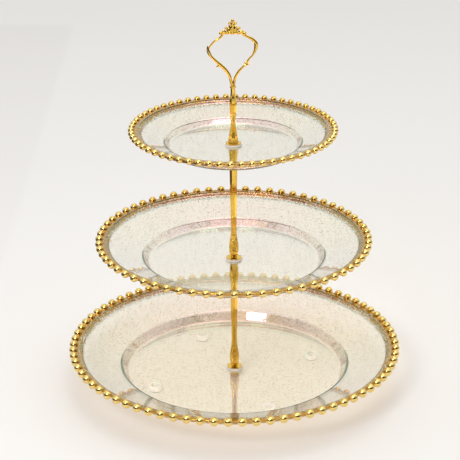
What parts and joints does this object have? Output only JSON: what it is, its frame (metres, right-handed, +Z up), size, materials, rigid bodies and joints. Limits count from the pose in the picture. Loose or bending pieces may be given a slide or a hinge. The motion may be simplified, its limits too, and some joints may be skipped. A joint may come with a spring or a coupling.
{
  "type": "tiered cake stand",
  "caption": "Tiered serving stand: clear round plates with beaded gilt rims on a slender gilt rod column that unscrews, topped by an open scrollwork handle with a small crown.",
  "frame": {"origin": "on the column's axis at the table, between the feet", "axes": "+Z up the column, +X across the handle's loop, -Y towards the front"},
  "size_m": [0.33, 0.3298, 0.3723],
  "materials": {
    "gold_plate": "polished bright yellow gold plating on cast metal",
    "lustre_glass": "clear pressed glass with a faint warm iridescent lustre and fine gold flecks",
    "gilded_glass": "solid glass beads and band gilded on the outside, bright metallic gold",
    "clear_nylon": "translucent white nylon",
    "clear_silicone": "clear soft silicone"
  },
  "bodies": {
    "bottom_tier": {"bottom_plate": "lustre_glass", "bottom_bead_rim": "gilded_glass", "foot_1": "clear_silicone", "foot_2": "clear_silicone", "foot_3": "clear_silicone", "foot_4": "clear_silicone", "bottom_upper_gasket": "clear_nylon", "bottom_lower_gasket": "clear_nylon"},
    "base_screw": {"base_screw": "gold_plate", "bottom_lower_washer": "gold_plate"},
    "bottom_petal": {"bottom_petal_washer": "gold_plate"},
    "lower_rod": {"lower_rod": "gold_plate", "lower_rod_stud": "gold_plate", "middle_lower_washer": "gold_plate"},
    "middle_tier": {"middle_plate": "lustre_glass", "middle_bead_rim": "gilded_glass", "middle_lower_gasket": "clear_nylon", "middle_upper_gasket": "clear_nylon"},
    "middle_petal": {"middle_petal_washer": "gold_plate"},
    "middle_rod": {"middle_rod": "gold_plate", "middle_rod_stud": "gold_plate", "top_lower_washer": "gold_plate"},
    "top_tier": {"top_plate": "lustre_glass", "top_bead_rim": "gilded_glass", "top_lower_gasket": "clear_nylon", "top_upper_gasket": "clear_nylon"},
    "top_petal": {"top_petal_washer": "gold_plate"},
    "handle": {"crown_handle": "gold_plate"}
  },
  "joints": [
    {"name": "column_turn", "type": "hinge", "parent": "bottom_tier", "child": "base_screw", "pos_m": [0, 0, 0.0065], "axis": [0, 0, 1], "continuous": true},
    {"name": "lower_rod_turn", "type": "hinge", "parent": "base_screw", "child": "bottom_petal", "pos_m": [0, 0, 0.0132], "axis": [0, 0, 1], "range_deg": [0, 3960]},
    {"name": "lower_rod_rise", "type": "slide", "parent": "bottom_petal", "child": "lower_rod", "axis": [0, 0, 1], "range_m": [0, 0.0077]},
    {"name": "middle_tier_turn", "type": "hinge", "parent": "lower_rod", "child": "middle_tier", "pos_m": [0, 0, 0.1261], "axis": [0, 0, 1], "continuous": true},
    {"name": "middle_rod_turn", "type": "hinge", "parent": "lower_rod", "child": "middle_petal", "pos_m": [0, 0, 0.1324], "axis": [0, 0, 1], "range_deg": [0, 3960]},
    {"name": "middle_rod_rise", "type": "slide", "parent": "middle_petal", "child": "middle_rod", "axis": [0, 0, 1], "range_m": [0, 0.0077]},
    {"name": "top_tier_turn", "type": "hinge", "parent": "middle_rod", "child": "top_tier", "pos_m": [0, 0, 0.2453], "axis": [0, 0, 1], "continuous": true},
    {"name": "handle_turn", "type": "hinge", "parent": "middle_rod", "child": "top_petal", "pos_m": [0, 0, 0.2512], "axis": [0, 0, 1], "range_deg": [0, 3960]},
    {"name": "handle_rise", "type": "slide", "parent": "top_petal", "child": "handle", "axis": [0, 0, 1], "range_m": [0, 0.0077]}
  ],
  "couplings": [
    {"joint": "lower_rod_turn", "follows": "lower_rod_rise", "rad_per_m": 8976},
    {"joint": "middle_rod_turn", "follows": "middle_rod_rise", "rad_per_m": 8976},
    {"joint": "handle_turn", "follows": "handle_rise", "rad_per_m": 8976}
  ]
}
